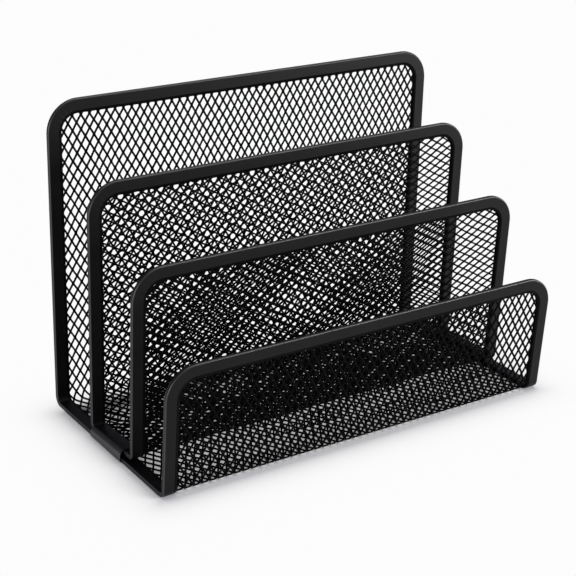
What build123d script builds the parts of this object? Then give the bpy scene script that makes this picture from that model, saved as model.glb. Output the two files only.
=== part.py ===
from build123d import *
import os
from math import asin, atan2, ceil, cos, degrees, radians, sin, tan

os.makedirs("parts", exist_ok=True)

# Three-slot letter rack of black expanded-steel mesh. Millimetres, +Z up, X across the rack.
# The front of the rack faces -Y. Z is 0 on the table.
# Two bent mesh sheets make it: an outer tray (back wall, floor, front wall) and a divider tray
# (rear divider, short floor, front divider) that stands in it. Strips folded to a U grip the edges
# of both sheets, and a folded clip on each side ties the base rails of the two trays together.

# Outer tray: wall planes are measured at the middle of the sheet
rack_width = 175.0
tray_depth = 83.8
back_wall_height = 122.1
back_wall_lean = 0.8
front_wall_height = 51.1
front_wall_lean = 2.5
back_bend_radius = 3.0
front_bend_radius = 2.5

# Divider tray
divider_side_step = 1.0
back_to_rear_divider = 27.8
divider_spacing = 31.0
rear_divider_height = 99.2
rear_divider_lean = 0.0
front_divider_height = 77.8
front_divider_lean = 1.15
divider_bend_radius = 1.6
front_foot_lift = 1.3

# Mesh sheet: each diamond stands for a group of the real, finer ones. The long way of the
# diamonds runs up the walls of the outer tray, and across the rack on the divider tray
mesh_thickness = 0.6
mesh_short_pitch = 19.25
mesh_long_pitch = 32.2
mesh_strand = 3.6
mesh_border = 1.6

# Edge channel, a strip folded to a U round the edge of the mesh
channel_sheet = 0.5
channel_face = 5.75
channel_corner_radius = 12.5
fold_chamfer = 0.6
slot_clearance = 0.05
mesh_edge_gap = 0.3
butt_gap = 0.2

# Clips that tie the base rails together
clip_sheet = 0.4
clip_clearance = 0.05
clip_flange = 6.2
clip_fold_radius = 0.6
clip_lip_rise = 0.05
clip_rear_gap = 2.0
clip_front_gap = 5.5

# Cuts run this far past what they cut
overrun = 1.0

# Sizes that follow
divider_tray_width = rack_width - 2 * divider_side_step
slot_width = mesh_thickness + 2 * slot_clearance
channel_thickness = slot_width + 2 * channel_sheet
channel_half = channel_thickness / 2
mesh_inset = channel_sheet + mesh_edge_gap

# Points of the two sheets' mid-planes, seen from the side as (y, z)
outer_floor_z = channel_half
back_lean = radians(back_wall_lean)
front_lean = radians(front_wall_lean)
back_top_reach = back_wall_height * sin(back_lean) + channel_half * cos(back_lean)
front_top_reach = front_wall_height * sin(front_lean) + channel_half * cos(front_lean)
centring = (front_top_reach - back_top_reach) / 2
back_y = centring + tray_depth / 2
front_y = centring - tray_depth / 2
rear_divider_y = back_y - back_to_rear_divider
front_divider_y = rear_divider_y - divider_spacing
rear_seat_z = channel_thickness + clip_clearance + channel_half
front_seat_z = rear_seat_z + front_foot_lift
joint_y = (rear_divider_y + front_divider_y) / 2


def side_point(foot_y, lean, distance):
    """Point on a wall's mid-plane, this far along the wall from the table; lean tips the top to +Y."""
    return Vector(0, foot_y + distance * sin(radians(lean)), distance * cos(radians(lean)))


def foot_point(foot_y, lean, z):
    """Point where a wall's mid-plane reaches the height z."""
    return Vector(0, foot_y + z * tan(radians(lean)), z)


back_top = side_point(back_y, back_wall_lean, back_wall_height)
front_top = side_point(front_y, -front_wall_lean, front_wall_height)
rear_divider_top = side_point(rear_divider_y, rear_divider_lean, rear_divider_height)
front_divider_top = side_point(front_divider_y, -front_divider_lean, front_divider_height)
back_foot = foot_point(back_y, back_wall_lean, outer_floor_z)
front_foot = foot_point(front_y, -front_wall_lean, outer_floor_z)
rear_divider_foot = foot_point(rear_divider_y, rear_divider_lean, rear_seat_z)
front_divider_foot = foot_point(front_divider_y, -front_divider_lean, front_seat_z)


def between(start, end, y):
    """Point at y on the straight line from start to end."""
    return start + (end - start) * ((y - start.Y) / (end.Y - start.Y))


class Bend:
    """The round bend from a floor to a wall: where it starts and ends, and the turn between."""

    def __init__(self, floor_from, corner, wall_top, radius):
        self.radius = radius
        self.floor_way = (corner - floor_from).normalized()
        self.wall_way = (wall_top - corner).normalized()
        self.angle = self.floor_way.get_angle(self.wall_way)
        self.tangent = radius * tan(radians(self.angle) / 2)
        self.half_length = radius * radians(self.angle) / 2
        self.start = corner - self.floor_way * self.tangent
        self.end = corner + self.wall_way * self.tangent
        self.axis_way = self.floor_way.cross(self.wall_way).normalized()
        self.centre = self.start + self.axis_way.cross(self.floor_way) * radius

    def point(self, turn_share, distance):
        """Point this far from the bend's centre, at a share of the turn from floor to wall."""
        arm = (self.start - self.centre).normalized()
        return self.centre + arm.rotate(Axis((0, 0, 0), self.axis_way), self.angle * turn_share) * distance


def channel_section(edge_point, heading):
    """U section of the edge channel: its closed edge at edge_point, its slot open to +X."""
    half_slot = slot_width / 2
    half_fold = channel_half - fold_chamfer
    outline = Polyline(
        (channel_face, half_slot),
        (channel_face, channel_half),
        (fold_chamfer, channel_half),
        (0, half_fold),
        (0, -half_fold),
        (fold_chamfer, -channel_half),
        (channel_face, -channel_half),
        (channel_face, -half_slot),
        (channel_sheet, -half_slot),
        (channel_sheet, half_slot),
        close=True,
    )
    return Plane(origin=edge_point, x_dir=(1, 0, 0), z_dir=heading) * make_face(outline)


def edge_channel(rail_start, corner, wall_top, width, bend_radius):
    """One U strip: in along a base rail, up an upright, over the top and down the other side."""
    bend = Bend(rail_start, corner, wall_top, bend_radius)
    left = Vector(-width / 2, 0, 0)
    rail_way = bend.floor_way
    section = channel_section(left + rail_start + rail_way * (butt_gap / 2), rail_way)
    rail_length = (bend.start - rail_start).length - butt_gap / 2
    half = extrude(section, amount=rail_length, dir=rail_way)
    section = section.moved(Location(rail_way * rail_length))
    bend_axis = Axis(left + bend.centre, bend.axis_way)
    half += revolve(section, bend_axis, bend.angle)
    section = section.rotate(bend_axis, bend.angle)
    upright_length = (wall_top - bend.end).length - channel_corner_radius
    half += extrude(section, amount=upright_length, dir=bend.wall_way)
    section = section.moved(Location(bend.wall_way * upright_length))
    corner_centre = left + bend.end + bend.wall_way * upright_length + Vector(channel_corner_radius, 0, 0)
    corner_axis = Axis(corner_centre, bend.wall_way.cross(Vector(1, 0, 0)))
    half += revolve(section, corner_axis, 90)
    section = section.rotate(corner_axis, 90)
    half += extrude(section, amount=width / 2 - channel_corner_radius, dir=(1, 0, 0))
    return half + mirror(half, about=Plane.YZ)


class Weave:
    """How the diamonds of a sheet lie: their pitches, and half lengths of the hole in each."""

    def __init__(self, pitch_across, pitch_along):
        self.pitch_across = pitch_across
        self.row_pitch = pitch_along / 2
        strand_angle = atan2(pitch_across, pitch_along)
        self.half_across = pitch_across / 2 - mesh_strand / 2 / cos(strand_angle)
        self.half_along = pitch_along / 2 - mesh_strand / 2 / sin(strand_angle)

    def row_places(self, row, reach):
        """X places of the diamonds in a row; odd rows are half a pitch over."""
        first = self.pitch_across / 2 if row % 2 else 0
        count = ceil(reach / self.pitch_across) + 1
        return [first + self.pitch_across * i for i in range(-count, count)]


def holed_sheet(outline, window, rows, row_pitch, half_along, parity, plane, weave):
    """Flat mesh: diamonds cut from the outline wherever they fall inside the window."""
    corners = [(0, half_along), (weave.half_across, 0), (0, -half_along), (-weave.half_across, 0)]
    shape = Polygon(*corners, align=None)
    reach = window.bounding_box().max.X
    places = [(x, row * row_pitch) for row in rows for x in weave.row_places(row + parity, reach)]
    diamonds = [Pos(*place) * shape for place in places]
    clipped = [window & diamond for diamond in diamonds]
    holes = [hole for hole in clipped if hole is not None and hole.faces()]
    return extrude(plane.offset(-mesh_thickness / 2) * (outline - holes), amount=mesh_thickness)


def mesh_wall(bend, wall_top, width, parity, weave):
    """Flat holed wall above a bend, with rounded top corners; rows count from the bend's middle."""
    top = bend.half_length + (wall_top - bend.end).length - mesh_inset
    sheet_width = width - 2 * mesh_inset
    corner = channel_corner_radius - mesh_inset
    height = top - bend.half_length
    middle = bend.half_length + height / 2
    outline = Pos(0, middle) * Rectangle(sheet_width, height)
    outline = fillet(outline.vertices().group_by(Axis.Y)[-1], corner)
    window_middle = middle - mesh_border / 2
    window = Pos(0, window_middle) * Rectangle(sheet_width - 2 * mesh_border, height - mesh_border)
    window = fillet(window.vertices().group_by(Axis.Y)[-1], corner - mesh_border)
    rows = range(ceil(top / weave.row_pitch) + 1)
    origin = bend.end - bend.wall_way * bend.half_length
    plane = Plane(origin=origin, x_dir=(1, 0, 0), z_dir=Vector(1, 0, 0).cross(bend.wall_way))
    return holed_sheet(outline, window, rows, weave.row_pitch, weave.half_along, parity, plane, weave)


def floor_rows(rear_bend, front_bend, weave):
    """How many half pitches fit the floor from bend to bend, and their length."""
    run = (rear_bend.start - front_bend.start).length + rear_bend.half_length + front_bend.half_length
    count = max(1, round(run / weave.row_pitch))
    return count, run / count


def mesh_floor(rear_bend, front_bend, width, weave):
    """Flat holed floor between two bends; its rows are stretched to land one on each bend."""
    count, row_pitch = floor_rows(rear_bend, front_bend, weave)
    length = (rear_bend.start - front_bend.start).length
    sheet_width = width - 2 * mesh_inset
    middle = -rear_bend.half_length - length / 2
    outline = Pos(0, middle) * Rectangle(sheet_width, length)
    window = Pos(0, middle) * Rectangle(sheet_width - 2 * mesh_border, length)
    half_along = weave.half_along * row_pitch / weave.row_pitch
    rows = range(-count, 1)
    origin = rear_bend.start + rear_bend.floor_way * rear_bend.half_length
    plane = Plane(origin=origin, x_dir=(1, 0, 0), z_dir=Vector(1, 0, 0).cross(rear_bend.floor_way))
    return holed_sheet(outline, window, rows, row_pitch, half_along, 0, plane, weave)


def bend_hole(bend, x, floor_half_along, weave):
    """The part of a diamond that wraps round a bend, as a ruled cutter through the bent sheet."""
    sections = []
    for turn_share, half_along in ((0, floor_half_along), (0.5, weave.half_along), (1, weave.half_along)):
        away = abs(turn_share - 0.5) * 2 * bend.half_length
        half_across = weave.half_across * (1 - away / half_along)
        near = bend.point(turn_share, (bend.radius - mesh_thickness) * cos(radians(bend.angle) / 4))
        far = bend.point(turn_share, bend.radius + overrun)
        reach = Vector(half_across, 0, 0)
        across = Vector(x, 0, 0)
        corners = [near - reach, near + reach, far + reach, far - reach]
        sections.append(make_face(Polyline([across + corner for corner in corners], close=True)))
    return loft(sections, ruled=True)


def mesh_bend(bend, turn_shares, width, parity, floor_half_along, weave):
    """The strip of mesh between two shares of a bend's turn, cut by the row of diamonds round it."""
    sheet_width = width - 2 * mesh_inset
    inner = bend.radius - mesh_thickness / 2
    outer = bend.radius + mesh_thickness / 2
    first, last = turn_shares
    middle = (first + last) / 2
    outline = [
        Line(bend.point(first, inner), bend.point(first, outer)),
        ThreePointArc(bend.point(first, outer), bend.point(middle, outer), bend.point(last, outer)),
        Line(bend.point(last, outer), bend.point(last, inner)),
        ThreePointArc(bend.point(last, inner), bend.point(middle, inner), bend.point(first, inner)),
    ]
    profile = Pos(-sheet_width / 2, 0, 0) * make_face(outline)
    strip = extrude(profile, amount=sheet_width, dir=(1, 0, 0))
    limit = sheet_width / 2 - mesh_border - weave.half_across
    places = [x for x in weave.row_places(parity, width / 2) if abs(x) <= limit]
    return strip - [bend_hole(bend, x, floor_half_along, weave) for x in places]


# A sheet is parted at the middle of each bend: the floor's half of the turn and the wall's half
floor_turn_shares = (0, 0.5)
wall_turn_shares = (0.5, 1)


def mesh_sheet(name, rear, rear_foot, rear_top, front_corner, front_wall_top, width, radii, weave):
    """The floor and the two walls of one bent mesh sheet, which meet at the middle of its bends."""
    rear_radius, front_radius = radii
    rear_bend = Bend(front_corner, rear_foot, rear_top, rear_radius)
    front_bend = Bend(rear_foot, front_corner, front_wall_top, front_radius)
    count, row_pitch = floor_rows(rear_bend, front_bend, weave)
    floor_half_along = weave.half_along * row_pitch / weave.row_pitch
    front_parity = count % 2
    rear_wall = mesh_wall(rear_bend, rear_top, width, 0, weave)
    rear_wall += mesh_bend(rear_bend, wall_turn_shares, width, 0, floor_half_along, weave)
    floor = mesh_floor(rear_bend, front_bend, width, weave)
    floor += mesh_bend(rear_bend, floor_turn_shares, width, 0, floor_half_along, weave)
    floor += mesh_bend(front_bend, floor_turn_shares, width, front_parity, floor_half_along, weave)
    front_wall = mesh_wall(front_bend, front_wall_top, width, front_parity, weave)
    front_wall += mesh_bend(front_bend, wall_turn_shares, width, front_parity, floor_half_along, weave)
    return {f"{name}_{rear}_wall": rear_wall, f"{name}_floor": floor, f"{name}_front_wall": front_wall}


def clip_section(y):
    """C section of the left clip at y: curled under the outer rail, up its edge and in over the top rail."""
    rail_top = between(front_divider_foot, rear_divider_foot, y).Z + channel_half
    web = -rack_width / 2 - clip_clearance
    curl_centre = (-rack_width / 2 + channel_half, channel_half)
    curl_inner = channel_half + clip_clearance
    curl_angle = degrees(asin((channel_half - clip_lip_rise) / (curl_inner + clip_sheet)))
    fold_centre = (web + clip_fold_radius, rail_top + clip_clearance - clip_fold_radius)
    flange_end = web + clip_flange
    inner_curl = CenterArc(curl_centre, curl_inner, 180 + curl_angle, -curl_angle)
    inner_web = Line(inner_curl @ 1, (web, fold_centre[1]))
    inner_fold = CenterArc(fold_centre, clip_fold_radius, 180, -90)
    inner_flange = Line(inner_fold @ 1, (flange_end, (inner_fold @ 1).Y))
    outer_fold = CenterArc(fold_centre, clip_fold_radius + clip_sheet, 90, 90)
    flange_edge = Line(inner_flange @ 1, (flange_end, (outer_fold @ 0).Y))
    outer_flange = Line(flange_edge @ 1, outer_fold @ 0)
    outer_curl = CenterArc(curl_centre, curl_inner + clip_sheet, 180, curl_angle)
    outer_web = Line(outer_fold @ 1, outer_curl @ 0)
    curl_edge = Line(outer_curl @ 1, inner_curl @ 0)
    outline = [inner_curl, inner_web, inner_fold, inner_flange, flange_edge, outer_flange, outer_fold,
               outer_web, outer_curl, curl_edge]
    return Plane(origin=(0, y, 0), x_dir=(1, 0, 0), z_dir=(0, -1, 0)) * make_face(outline)


outer_joint = between(front_foot, back_foot, joint_y)
divider_joint = between(front_divider_foot, rear_divider_foot, joint_y)

outer_mesh = mesh_sheet("outer_mesh", "back", back_foot, back_top, front_foot, front_top,
                        rack_width, (back_bend_radius, front_bend_radius),
                        Weave(mesh_short_pitch, mesh_long_pitch))
divider_mesh = mesh_sheet("divider_mesh", "rear", rear_divider_foot, rear_divider_top,
                          front_divider_foot, front_divider_top,
                          divider_tray_width, (divider_bend_radius, divider_bend_radius),
                          Weave(mesh_long_pitch, mesh_short_pitch))
clip_rear_end = clip_section(rear_divider_y - clip_rear_gap)
clip_front_end = clip_section(front_divider_y + clip_front_gap)
left_clip = loft([clip_rear_end, clip_front_end], ruled=True)

nodes = outer_mesh | divider_mesh | {
    "back_edge_channel": edge_channel(outer_joint, back_foot, back_top, rack_width, back_bend_radius),
    "front_edge_channel": edge_channel(outer_joint, front_foot, front_top, rack_width, front_bend_radius),
    "rear_divider_edge_channel": edge_channel(divider_joint, rear_divider_foot, rear_divider_top,
                                              divider_tray_width, divider_bend_radius),
    "front_divider_edge_channel": edge_channel(divider_joint, front_divider_foot, front_divider_top,
                                               divider_tray_width, divider_bend_radius),
    "left_rail_clip": left_clip,
    "right_rail_clip": mirror(left_clip, about=Plane.YZ),
}

for node, part in nodes.items():
    box = part.bounding_box()
    print(node, "solids", len(part.solids()), "valid", part.is_valid, "volume", round(part.volume, 1),
          "from", tuple(round(v, 2) for v in box.min), "to", tuple(round(v, 2) for v in box.max))
    export_step(part, f"parts/{node}.step")
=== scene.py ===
import logging
from dataclasses import dataclass
from enum import Enum
from math import asin, cos, hypot, pi, radians, sin, tan

import bmesh
import bpy
from mathutils import Matrix, Vector


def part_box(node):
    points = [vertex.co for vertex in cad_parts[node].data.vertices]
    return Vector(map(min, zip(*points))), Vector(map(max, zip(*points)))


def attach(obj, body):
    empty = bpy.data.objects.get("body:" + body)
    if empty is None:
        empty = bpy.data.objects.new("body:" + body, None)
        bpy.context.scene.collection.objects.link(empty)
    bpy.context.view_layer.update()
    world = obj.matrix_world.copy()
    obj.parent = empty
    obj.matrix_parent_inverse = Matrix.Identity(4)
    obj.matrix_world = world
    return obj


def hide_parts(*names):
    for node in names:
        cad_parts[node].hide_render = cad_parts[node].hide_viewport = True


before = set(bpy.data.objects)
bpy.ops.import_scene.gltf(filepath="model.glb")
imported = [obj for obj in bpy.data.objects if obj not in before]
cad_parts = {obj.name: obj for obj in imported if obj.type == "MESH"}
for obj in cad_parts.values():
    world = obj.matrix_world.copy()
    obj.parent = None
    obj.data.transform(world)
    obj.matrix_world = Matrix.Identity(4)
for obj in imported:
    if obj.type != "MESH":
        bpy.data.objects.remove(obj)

# Three-slot letter rack of black expanded-steel mesh, dressed for its picture. Sizes are written in
# millimetres and carried into metres by MM. +Z is up, X runs across the rack and its front faces -Y.

log = logging.getLogger("letter_rack")

MM = 0.001
BODY = "root"
ACROSS = Vector((1, 0, 0))
# Attribute that sets how strongly the coat reflects: one on a fold of the steel, where the stronger
# reflection is a painted highlight, and zero in the rolled edge next to the mesh, where the weak reflection
# is painted shade. A flat lies between them
PAINTED_SHEEN = "sheen"
FLAT_SHEEN = 0.15
# Faces that meet at a wider turn than this show an edge
SHARP_ANGLE = radians(50)
# Point over the table that the lamps look at, in metres
LAMP_AIM = Vector((0, 0, 0.05))

# Socket values of the nodes below, by socket name or place
Inputs = dict[str | int, object]


def linear(value: float) -> float:
    """Carries one sRGB channel, from 0 to 1, into linear light, by the numbers of the sRGB standard."""
    return value / 12.92 if value <= 0.04045 else ((value + 0.055) / 1.055) ** 2.4


def colour(hex_code: str) -> tuple[float, float, float, float]:
    """Turns an sRGB hex code into the linear colour that a socket takes.

    Args:
        hex_code: Six hex digits after a hash, such as "#101011".

    Returns:
        Red, green, blue and an alpha of one.
    """
    red, green, blue = (int(hex_code[place : place + 2], 16) / 255 for place in (1, 3, 5))
    return linear(red), linear(green), linear(blue), 1.0


def add_node(
    tree: bpy.types.NodeTree, kind: str, inputs: Inputs | None = None, **options: object
) -> bpy.types.Node:
    """Adds a node, sets its options, and sets or links its inputs.

    Args:
        tree: Node tree that the node joins.
        kind: Blender's type name of the node.
        inputs: A value or an output socket for each input, by its name or place.
        options: The node's own properties, such as operation.

    Returns:
        The new node.
    """
    node = tree.nodes.new(kind)
    for option, value in options.items():
        setattr(node, option, value)
    for socket, value in (inputs or {}).items():
        if isinstance(value, bpy.types.NodeSocket):
            tree.links.new(value, node.inputs[socket])
        else:
            node.inputs[socket].default_value = value
    return node


def calculate(tree: bpy.types.NodeTree, operation: str, *values: object) -> bpy.types.NodeSocket:
    """Adds a math node on numbers or sockets and returns its result."""
    return add_node(tree, "ShaderNodeMath", dict(enumerate(values)), operation=operation).outputs[0]


@dataclass(frozen=True)
class PowderCoat:
    """A baked powder coat on steel: satin, with the faint orange peel that such a coat has.

    Attributes:
        name: Name of the finish.
        shade: Colour of the coat, as sRGB hex.
        thin_shade: Colour where the coat is a little thinner.
        roughness: Roughness of the coat.
        roughness_spread: How much the roughness wanders from place to place.
        peel_size: Distance between the waves of the orange peel, in metres.
        peel_depth: Height of those waves, in metres.
        recess_gloss: Share of a smooth coat's reflection that is kept in a recess, where 0.5 is all of it;
            set low, it paints shade into the recess.
        fold_gloss: The same on a fold; set high, it paints a highlight onto the fold.
        cloud_size: Distance between the clouds that a spray gun leaves, in metres.
        speck_share: Size of a speck of powder, as a share of a wave of the orange peel.
        speck_height: Height of a speck, as a share of such a wave.
    """

    name: str
    shade: str
    thin_shade: str
    roughness: float
    roughness_spread: float
    peel_size: float
    peel_depth: float
    recess_gloss: float
    fold_gloss: float
    cloud_size: float = 12 * MM
    speck_share: float = 0.25
    speck_height: float = 0.3

    def material(self) -> bpy.types.Material:
        """Builds the material of the finish."""
        material = bpy.data.materials.new(self.name)
        material.use_nodes = True
        tree = material.node_tree
        tree.nodes.clear()
        place = add_node(tree, "ShaderNodeTexCoord").outputs["Object"]
        clouds = self.noise(tree, place, self.cloud_size, detail=2.0)
        peel = self.noise(tree, place, self.peel_size, detail=2.0)
        specks = self.noise(tree, place, self.peel_size * self.speck_share, detail=1.0)
        # Inputs 6 and 7 of the mix node are its colours A and B
        shades = {0: clouds, 6: colour(self.shade), 7: colour(self.thin_shade)}
        shade = add_node(tree, "ShaderNodeMix", shades, data_type="RGBA")
        rough = add_node(
            tree,
            "ShaderNodeMapRange",
            {
                "Value": clouds,
                "To Min": self.roughness - self.roughness_spread,
                "To Max": self.roughness + self.roughness_spread,
            },
        )
        height = calculate(tree, "MULTIPLY_ADD", specks, self.speck_height, peel)
        bumps = {"Strength": 1.0, "Distance": self.peel_depth, "Height": height}
        bump = add_node(tree, "ShaderNodeBump", bumps)
        # Painted highlight and painted shade: the attribute raises the reflection on folds and lowers it in
        # recesses
        sheen = add_node(tree, "ShaderNodeAttribute", attribute_name=PAINTED_SHEEN).outputs["Fac"]
        gloss_range = {"Value": sheen, "To Min": self.recess_gloss, "To Max": self.fold_gloss}
        gloss = add_node(tree, "ShaderNodeMapRange", gloss_range)
        coat = add_node(
            tree,
            "ShaderNodeBsdfPrincipled",
            {
                "Base Color": shade.outputs[2],
                "Roughness": rough.outputs[0],
                "Normal": bump.outputs[0],
                "IOR": 1.5,
                "Specular IOR Level": gloss.outputs[0],
            },
        )
        add_node(tree, "ShaderNodeOutputMaterial", {"Surface": coat.outputs[0]})
        return material

    @staticmethod
    def noise(
        tree: bpy.types.NodeTree, place: bpy.types.NodeSocket, size: float, detail: float
    ) -> bpy.types.NodeSocket:
        """Adds a noise whose waves are this size, in metres, and returns its value."""
        values = {"Vector": place, "Scale": 1 / size, "Detail": detail}
        return add_node(tree, "ShaderNodeTexNoise", values).outputs[0]


MESH_COAT = PowderCoat(
    name="mesh_black", shade="#020202", thin_shade="#050505", roughness=0.5, roughness_spread=0.05,
    peel_size=0.5 * MM, peel_depth=0.01 * MM, recess_gloss=0.03, fold_gloss=0.03,
)
# Their recess_gloss paints shade into the rolled edges and their fold_gloss paints highlights onto the folds
CHANNEL_COAT = PowderCoat(
    name="channel_black", shade="#060607", thin_shade="#0b0b0d", roughness=0.38, roughness_spread=0.04,
    peel_size=0.8 * MM, peel_depth=0.012 * MM, recess_gloss=0.02, fold_gloss=0.8,
)
CLIP_COAT = PowderCoat(
    name="clip_black", shade="#070708", thin_shade="#0c0c0e", roughness=0.34, roughness_spread=0.04,
    peel_size=0.8 * MM, peel_depth=0.01 * MM, recess_gloss=0.13, fold_gloss=0.6,
)


def rounded_corner(before: Vector, corner: Vector, after: Vector, radius: float, steps: int) -> list[Vector]:
    """Points of the arc that rounds a corner, from its first tangent point to its last.

    Args:
        before: A point on the line that comes to the corner.
        corner: Where the two lines meet.
        after: A point on the line that leaves the corner.
        radius: Radius of the arc.
        steps: Number of chords.

    Returns:
        The points, one more than the chords.
    """
    way_in = (corner - before).normalized()
    way_out = (after - corner).normalized()
    turn = way_in.angle(way_out)
    start = corner - way_in * (radius * tan(turn / 2))
    side = (way_out - way_in * way_out.dot(way_in)).normalized()
    angles = [turn * step / steps for step in range(steps + 1)]
    return [start + way_in * (radius * sin(a)) + side * (radius * (1 - cos(a))) for a in angles]


@dataclass(frozen=True)
class BentSheet:
    """One mesh sheet seen from the side, as the lines of its mid-plane.

    Attributes:
        width: Width over the edge channels.
        front_top: Upper edge of the front wall's channel.
        front_foot: Where the front wall's line meets the floor's.
        rear_foot: Where the rear wall's line meets the floor's.
        rear_top: Upper edge of the rear wall's channel.
        front_radius: Radius of the front bend.
        rear_radius: Radius of the rear bend.
        bend_steps: Number of chords in each bend.
    """

    width: float
    front_top: Vector
    front_foot: Vector
    rear_foot: Vector
    rear_top: Vector
    front_radius: float
    rear_radius: float
    bend_steps: int = 10

    def front_bend(self) -> list[Vector]:
        """Points of the front bend, from the wall to the floor."""
        corner = self.front_top, self.front_foot, self.rear_foot
        return rounded_corner(*corner, self.front_radius, self.bend_steps)

    def rear_bend(self) -> list[Vector]:
        """Points of the rear bend, from the floor to the wall."""
        corner = self.front_foot, self.rear_foot, self.rear_top
        return rounded_corner(*corner, self.rear_radius, self.bend_steps)

    def profile(self) -> list[Vector]:
        """The whole side view as a line, from the front wall's top to the rear wall's top."""
        return [self.front_top, *self.front_bend(), *self.rear_bend(), self.rear_top]

    def length_to(self, count: int) -> float:
        """Length of the side view up to its point number count."""
        line = self.profile()[: count + 1]
        return sum((b - a).length for a, b in zip(line, line[1:]))

    def parting_lengths(self) -> tuple[float, float, float]:
        """Lengths along the side view of the middle of both bends, and of its end."""
        half = self.bend_steps // 2
        front_middle = 1 + half
        rear_middle = 1 + self.bend_steps + 1 + half
        end = len(self.profile()) - 1
        return self.length_to(front_middle), self.length_to(rear_middle), self.length_to(end)

    def floor_height(self, y: float) -> float:
        """Height of the floor's mid-plane at y."""
        share = (y - self.front_foot.y) / (self.rear_foot.y - self.front_foot.y)
        return self.front_foot.z + share * (self.rear_foot.z - self.front_foot.z)


@dataclass(frozen=True)
class RackSizes:
    """The rack's driving sizes, in millimetres, from which both bent sheets follow."""

    width: float = 175.0
    depth: float = 83.8
    back_height: float = 122.1
    back_lean: float = 0.8
    back_radius: float = 3.0
    front_height: float = 51.1
    front_lean: float = -2.5
    front_radius: float = 2.5
    divider_width: float = 173.0
    back_to_rear_divider: float = 27.8
    divider_spacing: float = 31.0
    rear_divider_height: float = 99.2
    rear_divider_lean: float = 0.0
    front_divider_height: float = 77.8
    front_divider_lean: float = -1.15
    divider_radius: float = 1.6
    front_foot_lift: float = 1.3
    channel_thickness: float = 1.7
    clip_clearance: float = 0.05

    @property
    def half_channel(self) -> float:
        """Half the thickness of an edge channel."""
        return self.channel_thickness / 2

    @property
    def back_y(self) -> float:
        """Where the back wall's plane meets the table, with the rack centred front to back."""
        reaches = []
        for height, lean in ((self.back_height, self.back_lean), (self.front_height, -self.front_lean)):
            reaches.append(height * sin(radians(lean)) + self.half_channel * cos(radians(lean)))
        back_reach, front_reach = reaches
        return (self.depth + front_reach - back_reach) / 2

    def wall(self, foot_y: float, lean: float, height: float, seat: float) -> tuple[Vector, Vector]:
        """A wall's top and foot in the side view.

        Args:
            foot_y: Where the wall's plane meets the table.
            lean: How far the wall tips to the back, in degrees.
            height: Length of the wall's plane from the table to its top.
            seat: Height of the floor that the wall stands on.

        Returns:
            The top and the foot, in metres.
        """
        top = Vector((0, foot_y + height * sin(radians(lean)), height * cos(radians(lean))))
        foot = Vector((0, foot_y + seat * tan(radians(lean)), seat))
        return top * MM, foot * MM

    def outer_sheet(self) -> BentSheet:
        """The outer tray's sheet: front wall, floor and back wall."""
        seat = self.half_channel
        front_top, front_foot = self.wall(self.back_y - self.depth, self.front_lean, self.front_height, seat)
        rear_top, rear_foot = self.wall(self.back_y, self.back_lean, self.back_height, seat)
        radii = self.front_radius * MM, self.back_radius * MM
        return BentSheet(self.width * MM, front_top, front_foot, rear_foot, rear_top, *radii)

    def divider_sheet(self) -> BentSheet:
        """The divider tray's sheet: front divider, short floor and rear divider."""
        seat = self.channel_thickness + self.clip_clearance + self.half_channel
        rear_y = self.back_y - self.back_to_rear_divider
        front_y = rear_y - self.divider_spacing
        rear = self.rear_divider_lean, self.rear_divider_height, seat
        front = self.front_divider_lean, self.front_divider_height, seat + self.front_foot_lift
        rear_top, rear_foot = self.wall(rear_y, *rear)
        front_top, front_foot = self.wall(front_y, *front)
        radius = self.divider_radius * MM
        return BentSheet(self.divider_width * MM, front_top, front_foot, rear_foot, rear_top, radius, radius)


def new_piece(name: str, mesh: bpy.types.Mesh, material: bpy.types.Material) -> bpy.types.Object:
    """Makes a shown object of a mesh, smooth but for its sharp edges, with one material."""
    mesh.name = name
    mesh.materials.clear()
    mesh.materials.append(material)
    mesh.shade_smooth()
    mesh.set_sharp_from_angle(angle=SHARP_ANGLE)
    piece = bpy.data.objects.new(name, mesh)
    bpy.context.scene.collection.objects.link(piece)
    return piece


def seat_piece(piece: bpy.types.Object, node: str) -> None:
    """Lets a piece ride on the rack's body in place of a node."""
    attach(piece, BODY)
    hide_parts(node)
    low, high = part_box(node)
    corners = [piece.matrix_world @ Vector(corner) for corner in piece.bound_box]
    under = max(low[i] - min(c[i] for c in corners) for i in range(3)) / MM
    over = max(max(c[i] for c in corners) - high[i] for i in range(3)) / MM
    count = sum(len(face.vertices) - 2 for face in piece.data.polygons)
    log.info("%s: %d triangles, past its node by %.2f and %.2f mm", piece.name, count, under, over)


def swept_mesh(name: str, rings: list[list[Vector]], sheens: list[float]) -> bpy.types.Mesh:
    """Makes a closed mesh from a row of rings of points, with a flat cap at both ends.

    Args:
        name: Name of the mesh.
        rings: The rings, each with the same number of points.
        sheens: Sheen of each point of a ring, from zero in a recess, painted shade, to one on a fold,
            painted highlight.

    Returns:
        The mesh, with its sheen as an attribute.
    """
    form = bmesh.new()
    loops = [[form.verts.new(point) for point in ring] for ring in rings]
    for near, far in zip(loops, loops[1:]):
        for i in range(len(near)):
            form.faces.new((near[i - 1], near[i], far[i], far[i - 1]))
    form.faces.new(loops[0])
    form.faces.new(reversed(loops[-1]))
    bmesh.ops.recalc_face_normals(form, faces=form.faces)
    mesh = bpy.data.meshes.new(name)
    form.to_mesh(mesh)
    form.free()
    mesh.attributes.new(PAINTED_SHEEN, "FLOAT", "POINT").data.foreach_set("value", sheens * len(rings))
    return mesh


class LongWay(Enum):
    """The way in which the long diagonals of a sheet's diamonds run."""

    UP = "up"
    ACROSS = "across"


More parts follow.
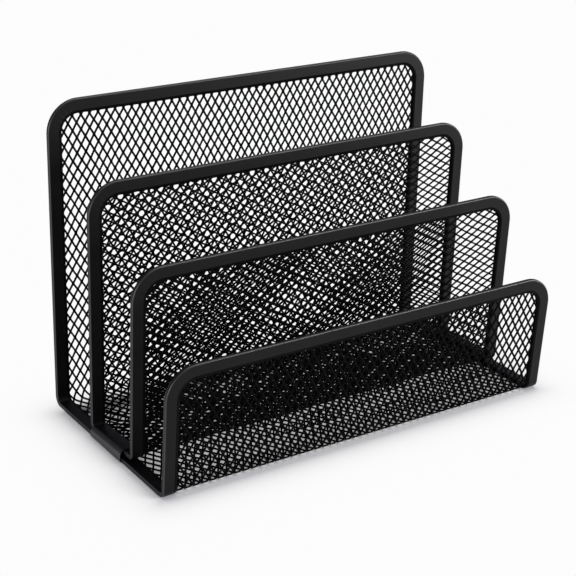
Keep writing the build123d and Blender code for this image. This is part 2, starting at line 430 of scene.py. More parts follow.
@dataclass(frozen=True)
class MeshCell:
    """The repeated piece of expanded steel: a knot with half of each of its four strands.

    Attributes:
        long_way: The way of the diamonds' long diagonals.
        short_pitch: Distance between knots along the short diagonals.
        long_pitch: Distance between knots along the long diagonals.
        strand: Width of a strand.
        thickness: Thickness of the sheet.
        knot: Width of a knot, where two strands run together.
        edge_round: How far the rounding of a strand's edges runs in from its sides.
        side_height: Height of the upright part of a strand's side.
    """

    long_way: LongWay
    short_pitch: float
    long_pitch: float
    strand: float
    thickness: float = 0.6 * MM
    knot: float = 1.1 * MM
    edge_round: float = 0.13 * MM
    side_height: float = 0.32 * MM

    @property
    def pitches(self) -> tuple[float, float]:
        """Distances between knots across the rack and up the wall."""
        if self.long_way is LongWay.UP:
            return self.short_pitch, self.long_pitch
        return self.long_pitch, self.short_pitch

    def ring(self, inset: float, height: float) -> list[Vector]:
        """Outline of the cell, this far in from its edge and this high off the mid-plane."""
        # A strand's middle, where the cell ends, lies a quarter pitch off the knot both ways
        short, long = self.short_pitch / 4, self.long_pitch / 4
        length = hypot(short, long)
        way_x, way_y = short / length, long / length
        half = self.strand / 2 - inset
        side = self.knot / 2 - inset
        knee = (side - half * way_y) / way_x * way_y - half * way_x
        outer = (short + half * way_y, long - half * way_x)
        inner = (short - half * way_y, long + half * way_x)
        crotch = half * (way_x + way_y * way_y / way_x)
        right = [(side, knee), outer, inner]
        upper = [*right, (0, crotch), *((-x, y) for x, y in reversed(right))]
        points = upper + [(-x, -y) for x, y in upper]
        if self.long_way is LongWay.ACROSS:
            points = [(y, -x) for x, y in points]
        return [Vector((x, y, height)) for x, y in points]

    def build(self) -> bpy.types.Object:
        """Makes the cell, flat, with its strands open at their ends where the next cell follows."""
        form = bmesh.new()
        levels = [
            (self.edge_round, self.thickness / 2),
            (0.0, self.side_height / 2),
            (0.0, -self.side_height / 2),
            (self.edge_round, -self.thickness / 2),
        ]
        loops = [[form.verts.new(point) for point in self.ring(*level)] for level in levels]
        # Sides of the outline, by number, where a strand goes on in the next cell
        strand_ends = (2, 5, 9, 12)
        for upper, lower in zip(loops, loops[1:]):
            for i in range(len(upper)):
                if i not in strand_ends:
                    form.faces.new((upper[i - 1], lower[i - 1], lower[i], upper[i]))
        # Corners of the outline, by number, round each of the four strands and both halves of the knot
        strands = ((0, 1, 2, 3), (3, 4, 5, 6), (7, 8, 9, 10), (10, 11, 12, 13))
        for corners in (*strands, (13, 0, 3, 10), (3, 6, 7, 10)):
            form.faces.new([loops[0][i] for i in corners])
            form.faces.new([loops[-1][i] for i in reversed(corners)])
        bmesh.ops.recalc_face_normals(form, faces=form.faces)
        mesh = bpy.data.meshes.new("mesh_cell")
        form.to_mesh(mesh)
        form.free()
        mesh.shade_smooth()
        cell = bpy.data.objects.new("mesh_cell", mesh)
        bpy.context.scene.collection.objects.link(cell)
        return cell


class MeshWeave:
    """The node tree that lays mesh cells over a part of a bent sheet."""

    SIZES = (
        "Sheet Width",
        "Pitch Across",
        "Pitch Along",
        "First Length",
        "Last Length",
        "Top Length",
        "Knot Length",
        "Knot Across",
        "Corner Radius",
        "Edge Inset",
        "Unevenness",
        "Wave Size",
        "Sheet Seed",
    )
    # Ends of strands that meet lie in the same place, far closer than a strand is wide
    JOIN_REACH = 0.02 * MM

    def __init__(self) -> None:
        """Builds the tree."""
        self.tree = bpy.data.node_groups.new("mesh_weave", "GeometryNodeTree")
        face = self.tree.interface
        self.identifiers: dict[str, str] = {}
        face.new_socket(name="Side View", in_out="INPUT", socket_type="NodeSocketGeometry")
        kinds = [(name, "NodeSocketFloat") for name in self.SIZES]
        for name, kind in [*kinds, ("Cell", "NodeSocketObject"), ("Finish", "NodeSocketMaterial")]:
            socket = face.new_socket(name=name, in_out="INPUT", socket_type=kind)
            self.identifiers[name] = socket.identifier
        face.new_socket(name="Mesh", in_out="OUTPUT", socket_type="NodeSocketGeometry")
        self.source = self.node("NodeGroupInput")
        bent = self.bent(self.uneven(self.cells(self.knots())))
        dressed = self.node("GeometryNodeSetMaterial", {"Geometry": bent, "Material": self.source["Finish"]})
        self.node("NodeGroupOutput", {0: dressed[0]})

    def node(
        self, kind: str, inputs: Inputs | None = None, **options: object
    ) -> bpy.types.bpy_prop_collection:
        """Adds a node to the tree, as add_node does, and returns its outputs."""
        return add_node(self.tree, kind, inputs, **options).outputs

    def place(self) -> bpy.types.bpy_prop_collection:
        """Adds nodes that read a point's place, and returns its parts, which are named X, Y and Z."""
        return self.node("ShaderNodeSeparateXYZ", {0: self.node("GeometryNodeInputPosition")[0]})

    def math(self, operation: str, *values: object) -> bpy.types.NodeSocket:
        """Adds a math node to the tree and returns its result."""
        return calculate(self.tree, operation, *values)

    def vector(self, operation: str, values: Inputs) -> bpy.types.NodeSocket:
        """Adds a vector math node to the tree and returns its result."""
        return self.node("ShaderNodeVectorMath", values, operation=operation)[0]

    def knots(self) -> bpy.types.NodeSocket:
        """Places of the knots: every other point of a grid, inside the sheet's rounded edge."""
        source = self.source
        half_across = self.math("MULTIPLY", source["Pitch Across"], 0.5)
        half_along = self.math("MULTIPLY", source["Pitch Along"], 0.5)
        half_width = self.math("MULTIPLY", source["Sheet Width"], 0.5)
        # One column more than fits, as the middle one need not be the rack's middle
        columns = self.math("ADD", self.math("CEIL", self.math("DIVIDE", half_width, half_across)), 1.0)
        first_run = self.math("SUBTRACT", source["First Length"], source["Knot Length"])
        last_run = self.math("SUBTRACT", source["Last Length"], source["Knot Length"])
        first_row = self.math("FLOOR", self.math("DIVIDE", first_run, half_along))
        last_row = self.math("CEIL", self.math("DIVIDE", last_run, half_along))
        rows = self.math("SUBTRACT", last_row, first_row)
        grid = self.node(
            "GeometryNodeMeshGrid",
            {
                "Size X": self.math("MULTIPLY", columns, source["Pitch Across"]),
                "Size Y": self.math("MULTIPLY", rows, half_along),
                "Vertices X": self.math("MULTIPLY_ADD", columns, 2.0, 1.0),
                "Vertices Y": self.math("ADD", rows, 1.0),
            },
        )
        middle_row = self.math("MULTIPLY", self.math("ADD", first_row, last_row), 0.5)
        middle = self.math("MULTIPLY_ADD", middle_row, half_along, source["Knot Length"])
        shift = self.node("ShaderNodeCombineXYZ", {"X": source["Knot Across"], "Y": middle})[0]
        placed = self.node("GeometryNodeSetPosition", {"Geometry": grid[0], "Offset": shift})[0]
        split = self.place()
        sideways = self.math("SUBTRACT", split["X"], source["Knot Across"])
        column = self.math("ROUND", self.math("DIVIDE", sideways, half_across))
        run = self.math("SUBTRACT", split["Y"], source["Knot Length"])
        row = self.math("ROUND", self.math("DIVIDE", run, half_along))
        odd = self.math("FLOORED_MODULO", self.math("ADD", column, row), 2.0)
        before = self.math("LESS_THAN", split["Y"], source["First Length"])
        after = self.math("GREATER_THAN", split["Y"], source["Last Length"])
        outside = self.outside(split, half_width)
        unwanted = self.math("ADD", self.math("ADD", odd, before), self.math("ADD", after, outside))
        chosen = self.math("GREATER_THAN", unwanted, 0.5)
        values = {"Geometry": placed, "Selection": chosen}
        return self.node("GeometryNodeDeleteGeometry", values, domain="POINT")[0]

    def outside(
        self, split: bpy.types.bpy_prop_collection, half_width: bpy.types.NodeSocket
    ) -> bpy.types.NodeSocket:
        """One where a point lies outside the wall's edge, rounded at its top corners, and else zero."""
        source = self.source
        radius = source["Corner Radius"]
        off_middle = self.math("ABSOLUTE", split["X"])
        past_side = self.math("ADD", self.math("SUBTRACT", off_middle, half_width), radius)
        from_top = self.math("ABSOLUTE", self.math("SUBTRACT", split["Y"], source["Top Length"]))
        past_top = self.math("SUBTRACT", radius, from_top)
        side = self.math("MAXIMUM", past_side, 0.0)
        top = self.math("MAXIMUM", past_top, 0.0)
        squares = self.math("MULTIPLY_ADD", side, side, self.math("MULTIPLY", top, top))
        within = self.math("MINIMUM", self.math("MAXIMUM", past_side, past_top), 0.0)
        reach = self.math("ADD", self.math("SQRT", squares), within)
        limit = self.math("SUBTRACT", radius, source["Edge Inset"])
        return self.math("GREATER_THAN", reach, limit)

    def cells(self, knots: bpy.types.NodeSocket) -> bpy.types.NodeSocket:
        """Sets a cell on each knot and joins the cells where their strands meet."""
        cell = self.node("GeometryNodeObjectInfo", {"Object": self.source["Cell"]})["Geometry"]
        laid = self.node("GeometryNodeInstanceOnPoints", {"Points": knots, "Instance": cell})[0]
        real = self.node("GeometryNodeRealizeInstances", {0: laid})[0]
        return self.node("GeometryNodeMergeByDistance", {"Geometry": real, "Distance": self.JOIN_REACH})[0]

    def uneven(self, cells: bpy.types.NodeSocket) -> bpy.types.NodeSocket:
        """Shifts the flat cells a little in their plane, as the slitting press stretches no sheet evenly."""
        source = self.source
        place = self.node("GeometryNodeInputPosition")[0]
        scale = self.math("DIVIDE", 1.0, source["Wave Size"])
        values = {"Vector": place, "W": source["Sheet Seed"], "Scale": scale, "Detail": 1.0}
        waves = self.node("ShaderNodeTexNoise", values, noise_dimensions="4D")["Color"]
        reach = source["Unevenness"]
        back = self.math("MULTIPLY", reach, -1.0)
        whole = self.math("MULTIPLY", reach, 2.0)
        span = self.node("ShaderNodeCombineXYZ", {"X": whole, "Y": whole})[0]
        least = self.node("ShaderNodeCombineXYZ", {"X": back, "Y": back})[0]
        shift = self.vector("MULTIPLY_ADD", {0: waves, 1: span, 2: least})
        return self.node("GeometryNodeSetPosition", {"Geometry": cells, "Offset": shift})[0]

    def bent(self, cells: bpy.types.NodeSocket) -> bpy.types.NodeSocket:
        """Bends the flat cells along the side view: their Y becomes the length along it."""
        line = self.node("GeometryNodeMeshToCurve", {"Mesh": self.source["Side View"]})[0]
        split = self.place()
        values = {"Curves": line, "Length": split["Y"]}
        sample = self.node("GeometryNodeSampleCurve", values, mode="LENGTH", use_all_curves=True)
        off = self.vector("CROSS_PRODUCT", {0: tuple(ACROSS), 1: sample["Tangent"]})
        raised = self.vector("SCALE", {0: off, "Scale": split["Z"]})
        sideways = self.node("ShaderNodeCombineXYZ", {"X": split["X"]})[0]
        on_line = self.vector("ADD", {0: sample["Position"], 1: sideways})
        target = self.vector("ADD", {0: on_line, 1: raised})
        return self.node("GeometryNodeSetPosition", {"Geometry": cells, "Position": target})[0]

    def weave(self, name: str, sheet: BentSheet, sizes: dict[str, object]) -> bpy.types.Mesh:
        """Runs the tree on a sheet's side view and returns the plain mesh that it makes."""
        side_view = bpy.data.meshes.new(name)
        line = sheet.profile()
        side_view.from_pydata(line, [(i, i + 1) for i in range(len(line) - 1)], [])
        host = bpy.data.objects.new(name, side_view)
        bpy.context.scene.collection.objects.link(host)
        modifier = host.modifiers.new("weave", "NODES")
        modifier.node_group = self.tree
        for label, value in sizes.items():
            modifier[self.identifiers[label]] = value
        host.update_tag()
        graph = bpy.context.evaluated_depsgraph_get()
        mesh = bpy.data.meshes.new_from_object(host.evaluated_get(graph))
        bpy.data.objects.remove(host)
        return mesh


@dataclass
class MeshTray:
    """One bent sheet of expanded mesh, laid as its front wall, its floor and its rear wall.

    Attributes:
        sheet: The sheet's side view.
        nodes: Names of the front wall, the floor and the rear wall.
        cell: The piece that the sheet repeats.
        knot_drop: Distance from the rear wall's top down to a row of knots.
        knot_across: Place of one of that row's knots across the rack.
        corner_radius: Radius of the channel's top corners.
        edge_inset: How far inside the channel's edge the outermost knots may lie.
        unevenness: Farthest that the press left a knot from its even place, either way.
        wave_size: Distance over which that unevenness comes and goes.
        seed: Number that makes this sheet's unevenness its own.
    """

    sheet: BentSheet
    nodes: tuple[str, str, str]
    cell: MeshCell
    knot_drop: float
    knot_across: float = 0.0
    corner_radius: float = 12.5 * MM
    edge_inset: float = 2.6 * MM
    unevenness: float = 0.7 * MM
    wave_size: float = 16 * MM
    seed: float = 3.0

    def dress(self, weave: MeshWeave, coat: bpy.types.Material) -> None:
        """Makes the sheet's three pieces and seats them."""
        cell_object = self.cell.build()
        across, along = self.cell.pitches
        front_middle, rear_middle, end = self.sheet.parting_lengths()
        # A floor has no top edge, so its own is set a metre off
        far_off = -1.0
        spans = [(0.0, front_middle, 0.0), (front_middle, rear_middle, far_off), (rear_middle, end, end)]
        for node, (first, last, top) in zip(self.nodes, spans):
            sizes = {
                "Sheet Width": self.sheet.width,
                "Pitch Across": across,
                "Pitch Along": along,
                "First Length": first,
                "Last Length": last,
                "Top Length": top,
                "Knot Length": end - self.knot_drop,
                "Knot Across": self.knot_across,
                "Corner Radius": self.corner_radius,
                "Edge Inset": self.edge_inset,
                "Unevenness": self.unevenness,
                "Wave Size": self.wave_size,
                "Sheet Seed": self.seed,
                "Cell": cell_object,
                "Finish": coat,
            }
            mesh = weave.weave(node, self.sheet, sizes)
            self.close_ends(mesh)
            piece = new_piece(f"{node}_steel", mesh, coat)
            seat_piece(piece, node)
        bpy.data.objects.remove(cell_object)

    @staticmethod
    def close_ends(mesh: bpy.types.Mesh) -> None:
        """Caps the cut ends of the strands, which lie inside the channels."""
        form = bmesh.new()
        form.from_mesh(mesh)
        open_edges = [edge for edge in form.edges if edge.is_boundary]
        # A strand's cut end is an octagon, as both its sides have a rounding above and below
        end_sides = 8
        bmesh.ops.holes_fill(form, edges=open_edges, sides=end_sides)
        form.to_mesh(mesh)
        form.free()


@dataclass(frozen=True)
class Station:
    """A place along an edge channel where its section is set down.

    Attributes:
        edge: The strip's closed edge, on the sheet's mid-plane.
        inward: The way from the edge into the sheet.
        normal: The way off the sheet.
        pleat: Depth of the pleat here, which the strip has where it is bent round a top corner.
    """

    edge: Vector
    inward: Vector
    normal: Vector
    pleat: float = 0.0

    def mirrored(self) -> "Station":
        """The same place on the other side of the rack."""
        flip = Vector((-1, 1, 1))
        return Station(self.edge * flip, self.inward * flip, self.normal, self.pleat)


@dataclass
class EdgeChannel:
    """A steel strip folded to a U round the edge of a sheet, from under one clip to the other.

    Attributes:
        node: Name of the channel.
        line: Side view of the half that it follows: rail start, foot and wall top.
        width: Width over the channel.
        bend_radius: Radius of the bend from the rail to the upright.
        face: Width of the strip's two faces.
        thickness: Thickness over the folded strip.
        slot: Room between the flanges, which the mesh fills.
        sheet: Thickness of the steel.
        corner_radius: Radius of the top corners.
        butt_gap: Gap between the front and the rear strip under a clip.
        edge_roll: How far in from its edge a flange is rolled down onto the mesh.
        fold_radius: Radius of the two roundings at the closed edge.
        pleat_depth: Depth of the pleats in a top corner.
        pleats: Number of pleats in a top corner.
        pleat_steps: Number of stations to a pleat.
        bend_steps: Number of chords in a bend.
        roll_steps: Number of chords in a rolled edge.
        fold_steps: Number of chords in a rounding.
    """

    node: str
    line: tuple[Vector, Vector, Vector]
    width: float
    bend_radius: float
    face: float = 5.75 * MM
    thickness: float = 1.7 * MM
    slot: float = 0.7 * MM
    sheet: float = 0.5 * MM
    corner_radius: float = 12.5 * MM
    butt_gap: float = 0.2 * MM
    edge_roll: float = 1.25 * MM
    fold_radius: float = 0.5 * MM
    pleat_depth: float = 0.05 * MM
    pleats: int = 7
    pleat_steps: int = 8
    bend_steps: int = 10
    roll_steps: int = 5
    fold_steps: int = 6

    def section(self) -> list[tuple[float, float, float]]:
        """The U as points (distance in from the closed edge, height off the mid-plane, sheen)."""
        half, half_slot, round_off = self.thickness / 2, self.slot / 2, self.fold_radius
        roll_start = self.face - self.edge_roll
        # Sheen zero on the slot and the roll is painted shade: a weak reflection where shade falls next to
        # the mesh
        upper = [(self.sheet, half_slot, 0.0)]
        # The flange's edge is rolled in until it grips the mesh
        for i in range(self.roll_steps + 1):
            angle = pi / 2 * (1 - i / self.roll_steps)
            height = half_slot + (half - half_slot) * cos(angle)
            upper.append((roll_start + self.edge_roll * sin(angle), height, 0.0))
        flat = roll_start - round_off
        flat_shares = (0.99, 0.9, 0.65, 0.35, 0.08)
        upper += [(round_off + flat * share, half, FLAT_SHEEN) for share in flat_shares]
        # The strip is folded twice, so its closed edge is flat between two small roundings
        for i in range(self.fold_steps + 1):
            angle = pi / 2 * i / self.fold_steps
            # The sheen peaks in the middle of each rounding: a painted highlight by a stronger reflection
            sheen = FLAT_SHEEN + (1 - FLAT_SHEEN) * sin(2 * angle)
            upper.append((round_off * (1 - sin(angle)), half - round_off * (1 - cos(angle)), sheen))
        return upper + [(a, -b, sheen) for a, b, sheen in upper[::-1]]

    def stations(self) -> list[Station]:
        """Places along the strip, from its left end to its right end."""
        start, foot, top = self.line
        left = ACROSS * (-self.width / 2)
        bend = rounded_corner(start, foot, top, self.bend_radius, self.bend_steps)
        rail_way = (foot - start).normalized()
        wall_way = (top - foot).normalized()
        wall_normal = wall_way.cross(ACROSS)
        rail_normal = rail_way.cross(ACROSS)
        places = [Station(left + start + rail_way * (self.butt_gap / 2), ACROSS, rail_normal)]
        turn = rail_way.angle(wall_way)
        for i, point in enumerate(bend):
            angle = turn * i / (len(bend) - 1)
            way = self.turned(rail_way, wall_way, angle)
            places.append(Station(left + point, ACROSS, way.cross(ACROSS)))
        corner_foot = top - wall_way * self.corner_radius
        places.append(Station(left + bend[-1].lerp(corner_foot, 0.5), ACROSS, wall_normal))
        centre = left + ACROSS * self.corner_radius + corner_foot
        steps = self.pleats * self.pleat_steps
        for i in range(steps + 1):
            share = i / steps
            outward = wall_way * sin(share * pi / 2) - ACROSS * cos(share * pi / 2)
            # Pleats are deepest at the middle of the corner and die out where the strip runs straight
            pleat = self.pleat_depth * sin(share * self.pleats * 2 * pi) * sin(share * pi)
            places.append(Station(centre + outward * self.corner_radius, -outward, wall_normal, pleat))
        # This one and its mirrored one part the top rail in three
        third = self.width / 3
        places.append(Station(Vector((-third / 2, top.y, top.z)), -wall_way, wall_normal))
        return places + [place.mirrored() for place in reversed(places)]

    @staticmethod
    def turned(first: Vector, last: Vector, angle: float) -> Vector:
        """The first way turned by an angle towards the last."""
        side = (last - first * last.dot(first)).normalized()
        return first * cos(angle) + side * sin(angle)

    def ring(self, place: Station) -> list[Vector]:
        """The section set down at a place, with the pleat pressed into its faces."""
        points = []
        half, half_slot = self.thickness / 2, self.slot / 2
        for inward, height, _ in self.section():
            share = max(0.0, (inward - self.thickness) / (self.face - self.thickness))
            depth = place.pleat * share * max(0.0, (abs(height) - half_slot) / (half - half_slot))
            lift = height + (depth if height > 0 else -depth)
            points.append(place.edge + place.inward * inward + place.normal * lift)
        return points

    def dress(self, coat: bpy.types.Material) -> None:
        """Makes the channel and seats it."""
        sheens = [sheen for _, _, sheen in self.section()]
        mesh = swept_mesh(self.node, [self.ring(place) for place in self.stations()], sheens)
        piece = new_piece(f"{self.node}_steel", mesh, coat)
        seat_piece(piece, self.node)


class Side(Enum):
    """The two sides of the rack."""

    LEFT = -1
    RIGHT = 1


@dataclass
class RailClip:
    """A folded strip that holds the stacked base rails of both trays together on one side.

    Attributes:
        side: The side of the rack that it ties.
        outer: The outer tray's sheet.
        inner: The divider tray's sheet.
        metal: Thickness of the steel.
        clearance: Room between the clip and the rails.
        flange: Width of the flange over the upper rail.
        fold_radius: Inner radius of the fold from the web to the flange.
        lip_rise: Height of the curled lip's end over the table.
        rear_gap: Distance from the rear divider's foot to the clip.
        front_gap: Distance from the front divider's foot to the clip.
        half_channel: Half the thickness of an edge channel.
        edge_soft: How far the rounding of the flange's edge reaches.
        steps: Number of chords in each arc, and of lengths along the clip.
    """

    side: Side
    outer: BentSheet
    inner: BentSheet
    metal: float = 0.4 * MM
    clearance: float = 0.05 * MM
    flange: float = 6.2 * MM
    fold_radius: float = 2.0 * MM
    lip_rise: float = 0.05 * MM
    rear_gap: float = 2.0 * MM
    front_gap: float = 5.5 * MM
    half_channel: float = 0.85 * MM
    edge_soft: float = 0.08 * MM
    steps: int = 10

    def arc(
        self, centre: tuple[float, float], radius: float, first: float, last: float
    ) -> list[tuple[float, float, float]]:
        """Points of an arc from its first angle to its last: place across, height and angle."""
        angles = [first + (last - first) * i / self.steps for i in range(self.steps + 1)]
        return [(centre[0] + radius * cos(a), centre[1] + radius * sin(a), a) for a in angles]

    def outline(self, y: float) -> list[tuple[float, float, float]]:
        """The left clip's C at y, from its curled lip under the rail to its flange and back.

        Args:
            y: Place along the rail.

        Returns:
            The points of the C: place across, height and sheen.
        """
        rail_top = self.inner.floor_height(y) + self.half_channel
        rail_side = -self.outer.width / 2
        web = rail_side - self.clearance
        curl_centre = (rail_side + self.half_channel, self.half_channel)
        curl = self.half_channel + self.clearance
        curl_end = pi + asin((self.half_channel - self.lip_rise) / (curl + self.metal))
        fold_centre = (web + self.fold_radius, rail_top + self.clearance - self.fold_radius)
        inner_side = self.arc(curl_centre, curl, curl_end, pi)
        inner_side += self.arc(fold_centre, self.fold_radius, pi, pi / 2)
        edge, under, soft = web + self.flange, rail_top + self.clearance, self.edge_soft
        over = under + self.metal
        lip = [(edge - soft, under), (edge, under + soft), (edge, over - soft), (edge - soft, over)]
        points = [(x, z, FLAT_SHEEN) for x, z, _ in inner_side]
        points += [(x, z, FLAT_SHEEN) for x, z in lip]
        # The outer fold and curl get a higher sheen, a painted highlight by a stronger reflection
        for x, z, angle in self.arc(fold_centre, self.fold_radius + self.metal, pi / 2, pi):
            points.append((x, z, FLAT_SHEEN - (1 - FLAT_SHEEN) * cos(angle)))
        points += [(x, z, 1.0) for x, z, _ in self.arc(curl_centre, curl + self.metal, pi, curl_end)]
        return points

    def dress(self, coat: bpy.types.Material) -> None:
        """Makes the clip and seats it."""
        rear = self.inner.rear_foot.y - self.rear_gap
        front = self.inner.front_foot.y + self.front_gap
        node = f"{self.side.name.lower()}_rail_clip"
        places = [rear + (front - rear) * i / self.steps for i in range(self.steps + 1)]
        rings = [[Vector((-self.side.value * x, y, z)) for x, z, _ in self.outline(y)] for y in places]
        sheens = [sheen for _, _, sheen in self.outline(rear)]
        piece = new_piece(f"{node}_steel", swept_mesh(node, rings, sheens), coat)
        seat_piece(piece, node)


@dataclass
class Rack:
    """The whole letter rack: two mesh trays, four edge channels and two rail clips.

    Attributes:
        sizes: The driving sizes that all its pieces follow.
    """

    sizes: RackSizes

    def build(self) -> None:
        """Makes every piece of the rack."""
        outer, inner = self.sizes.outer_sheet(), self.sizes.divider_sheet()
        self.build_mesh(outer, inner)
        self.build_channels(outer, inner)
        coat = CLIP_COAT.material()
        for side in Side:
            RailClip(side, outer, inner).dress(coat)

    @staticmethod
    def build_mesh(outer: BentSheet, inner: BentSheet) -> None:
        """Makes the mesh of both trays, whose sheets are cut with the diamonds a quarter turn apart."""
        outer_nodes = ("outer_mesh_front_wall", "outer_mesh_floor", "outer_mesh_back_wall")
        inner_nodes = ("divider_mesh_front_wall", "divider_mesh_floor", "divider_mesh_rear_wall")
        upright = MeshCell(LongWay.UP, short_pitch=3.5 * MM, long_pitch=5.75 * MM, strand=0.73 * MM)
        lying = MeshCell(LongWay.ACROSS, short_pitch=3.22 * MM, long_pitch=5.6 * MM, strand=0.66 * MM)
        weave = MeshWeave()
        coat = MESH_COAT.material()
        outer_tray = MeshTray(outer, outer_nodes, upright, knot_drop=29.45 * MM)
        outer_tray.dress(weave, coat)
        divider_tray = MeshTray(
            inner, inner_nodes, lying, knot_drop=24.35 * MM, knot_across=0.05 * MM, seed=8.0
        )
        divider_tray.dress(weave, coat)

    @staticmethod
    def build_channels(outer: BentSheet, inner: BentSheet) -> None:
        """Makes the four edge channels, which butt under the clips midway between the dividers."""
        joint_y = (inner.front_foot.y + inner.rear_foot.y) / 2
        coat = CHANNEL_COAT.material()
        for sheet, rear_node, front_node in (
            (outer, "back_edge_channel", "front_edge_channel"),
            (inner, "rear_divider_edge_channel", "front_divider_edge_channel"),
        ):
            joint = Vector((0, joint_y, sheet.floor_height(joint_y)))
            rear = (joint, sheet.rear_foot, sheet.rear_top)
            front = (joint, sheet.front_foot, sheet.front_top)
            EdgeChannel(rear_node, rear, sheet.width, sheet.rear_radius).dress(coat)
            EdgeChannel(front_node, front, sheet.width, sheet.front_radius).dress(coat)


@dataclass(frozen=True)
class SoftBox:
    """A rectangular lamp that looks at the rack.

    Attributes:
        name: Name of the lamp.
        place: Where it hangs, in metres.
        width: Length of its level side, in metres.
        height: Length of its other side, in metres.
        glow: Radiance, where 1 is as bright as white paper in full light.
        tint: Colour of the light, as sRGB hex.
    """

    name: str
    place: tuple[float, float, float]
    width: float
    height: float
    glow: float
    tint: str = "#ffffff"

    def hang(self) -> None:
        """Hangs the lamp."""
        data = bpy.data.lights.new(self.name, "AREA")
        data.shape = "RECTANGLE"
        data.size = self.width
        data.size_y = self.height
        data.energy = self.glow * pi * self.width * self.height
        data.color = colour(self.tint)[:3]
        lamp = bpy.data.objects.new(self.name, data)
        place = Vector(self.place)
        turn = (LAMP_AIM - place).to_track_quat("-Z", "Y")
        lamp.matrix_world = Matrix.Translation(place) @ turn.to_matrix().to_4x4()
        bpy.context.scene.collection.objects.link(lamp)


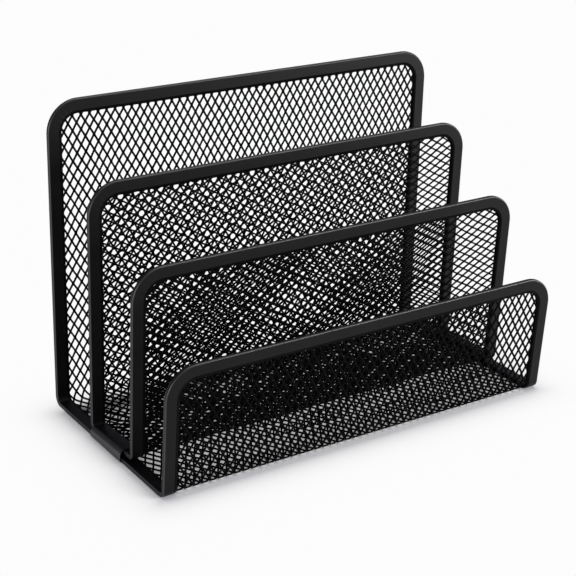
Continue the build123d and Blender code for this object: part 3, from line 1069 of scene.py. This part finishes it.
@dataclass
class Studio:
    """The white table, the lamps and the camera, which stands where the photograph's was.

    Attributes:
        camera_place: Where the camera stands, as worked out from the rack's edges.
        camera_azimuth: Its turn from +Y, in degrees.
        camera_elevation: How far it looks down, in degrees.
        camera_roll: Its roll, in degrees.
        camera_lens: Length of its lens, in millimetres.
        sensor: Width of its sensor, in millimetres.
        clip_start: Distance from which it sees.
        floor_reach: Distance from the rack to the table's edges.
        shade_from: A corner of the part of the table along whose sides the rack's shade is deepest.
        shade_to: The corner across from it.
        shade_seam: How far the deep shade reaches in from those sides.
        shade_fade: Distance off it over which the shade fades.
        under_share: Share of the open table's white that is seen under the rack.
        white_level: White of the open table.
        surround_strength: Strength of the light from all round.
        surround_tint: Its colour, a little lilac, as the shaded paper of the photograph is.
        boxes: The lamps.
    """

    camera_place: tuple[float, float, float] = (-0.31878, -0.45123, 0.28138)
    camera_azimuth: float = -34.52
    camera_elevation: float = 23.02
    camera_roll: float = 2.02
    camera_lens: float = 96.44
    sensor: float = 36.0
    clip_start: float = 0.01
    floor_reach: float = 40.0
    shade_from: tuple[float, float] = (-89 * MM, -43 * MM)
    shade_to: tuple[float, float] = (88 * MM, 34 * MM)
    shade_seam: float = 4 * MM
    shade_fade: float = 5.5 * MM
    under_share: float = 0.4
    white_level: float = 0.98
    surround_strength: float = 0.36
    surround_tint: str = "#eeeaff"
    boxes: tuple[SoftBox, ...] = (
        SoftBox("overhead_box", (0.15, 0.26, 1.25), 1.1, 1.1, 2.2, "#fffff4"),
        SoftBox("front_strip", (0.75, -1.0, 0.66), 0.7, 0.3, 10.0),
        SoftBox("left_strip", (-1.0, -0.65, 0.2), 0.6, 0.35, 7.0),
        SoftBox("right_box", (1.0, -0.84, 0.14), 0.6, 0.25, 22.0),
    )

    def camera(self) -> None:
        """Sets the camera up."""
        data = bpy.data.cameras.new("camera")
        data.sensor_width = self.sensor
        data.lens = self.camera_lens
        data.clip_start = self.clip_start
        camera = bpy.data.objects.new("camera", data)
        turn = Matrix.Rotation(radians(self.camera_azimuth), 4, "Z")
        tilt = Matrix.Rotation(radians(90 - self.camera_elevation), 4, "X")
        roll = Matrix.Rotation(radians(self.camera_roll), 4, "Z")
        camera.matrix_world = Matrix.Translation(self.camera_place) @ turn @ tilt @ roll
        bpy.context.scene.collection.objects.link(camera)
        bpy.context.scene.camera = camera

    def floor(self) -> None:
        """Lays the white table, which keeps the rack's shadow."""
        reach = self.floor_reach
        corners = [(-reach, -reach, 0), (reach, -reach, 0), (reach, reach, 0), (-reach, reach, 0)]
        mesh = bpy.data.meshes.new("floor")
        mesh.from_pydata(corners, [], [(0, 1, 2, 3)])
        material = bpy.data.materials.new("white_table")
        material.use_nodes = True
        tree = material.node_tree
        tree.nodes.clear()
        # The open table is seen at one even white, and the shaded part keeps the rack's soft shadow
        paper = add_node(tree, "ShaderNodeBsdfDiffuse", {"Color": colour("#f4f4f4")})
        white = {"Color": colour("#ffffff"), "Strength": self.white_level}
        glow = add_node(tree, "ShaderNodeEmission", white)
        rays = add_node(tree, "ShaderNodeLightPath").outputs
        mirrored = calculate(tree, "MAXIMUM", rays["Is Glossy Ray"], rays["Is Transmission Ray"])
        seen = calculate(tree, "MAXIMUM", rays["Is Camera Ray"], mirrored)
        share = calculate(tree, "MULTIPLY", seen, self.open_table(tree))
        mixed = add_node(tree, "ShaderNodeMixShader", {0: share, 1: paper.outputs[0], 2: glow.outputs[0]})
        add_node(tree, "ShaderNodeOutputMaterial", {"Surface": mixed.outputs[0]})
        mesh.materials.append(material)
        floor = bpy.data.objects.new("floor", mesh)
        bpy.context.scene.collection.objects.link(floor)

    def open_table(self, tree: bpy.types.NodeTree) -> bpy.types.NodeSocket:
        """Share of even white on the table: one well off the rack, and zero where its shadow is deep."""
        place = add_node(tree, "ShaderNodeTexCoord").outputs["Object"]
        split = add_node(tree, "ShaderNodeSeparateXYZ", {0: place}).outputs
        squares, depth = 0.0, 1.0
        for axis, low, high in zip("XY", self.shade_from, self.shade_to):
            middle, half = (low + high) / 2, (high - low) / 2
            off_middle = calculate(tree, "ABSOLUTE", calculate(tree, "SUBTRACT", split[axis], middle))
            past = calculate(tree, "SUBTRACT", off_middle, half)
            beyond = calculate(tree, "MAXIMUM", past, 0.0)
            squares = calculate(tree, "MULTIPLY_ADD", beyond, beyond, squares)
            within = calculate(tree, "MAXIMUM", calculate(tree, "SUBTRACT", -self.shade_seam, past), 0.0)
            depth = calculate(tree, "MINIMUM", depth, within)
        outside = self.faded(tree, calculate(tree, "SQRT", squares))
        return calculate(tree, "MULTIPLY_ADD", self.faded(tree, depth), self.under_share, outside)

    def faded(self, tree: bpy.types.NodeTree, distance: bpy.types.NodeSocket) -> bpy.types.NodeSocket:
        """How far the shade has faded at a distance, from zero to one."""
        fades = calculate(tree, "DIVIDE", distance, -self.shade_fade)
        return calculate(tree, "SUBTRACT", 1.0, calculate(tree, "EXPONENT", fades))

    def lights(self) -> None:
        """Hangs the soft boxes and sets the grey surround."""
        for box in self.boxes:
            box.hang()
        world = bpy.data.worlds.new("surround")
        bpy.context.scene.world = world
        world.use_nodes = True
        tree = world.node_tree
        tree.nodes.clear()
        values = {"Color": colour(self.surround_tint), "Strength": self.surround_strength}
        light = add_node(tree, "ShaderNodeBackground", values)
        add_node(tree, "ShaderNodeOutputWorld", {"Surface": light.outputs[0]})

    def build(self) -> None:
        """Sets up the whole studio."""
        self.floor()
        self.lights()
        self.camera()
        bpy.context.scene.view_settings.view_transform = "Standard"


def main() -> None:
    """Builds the rack and its studio."""
    logging.basicConfig(level=logging.INFO)
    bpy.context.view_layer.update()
    Studio().build()
    Rack(RackSizes()).build()


if __name__ == "__main__":
    main()
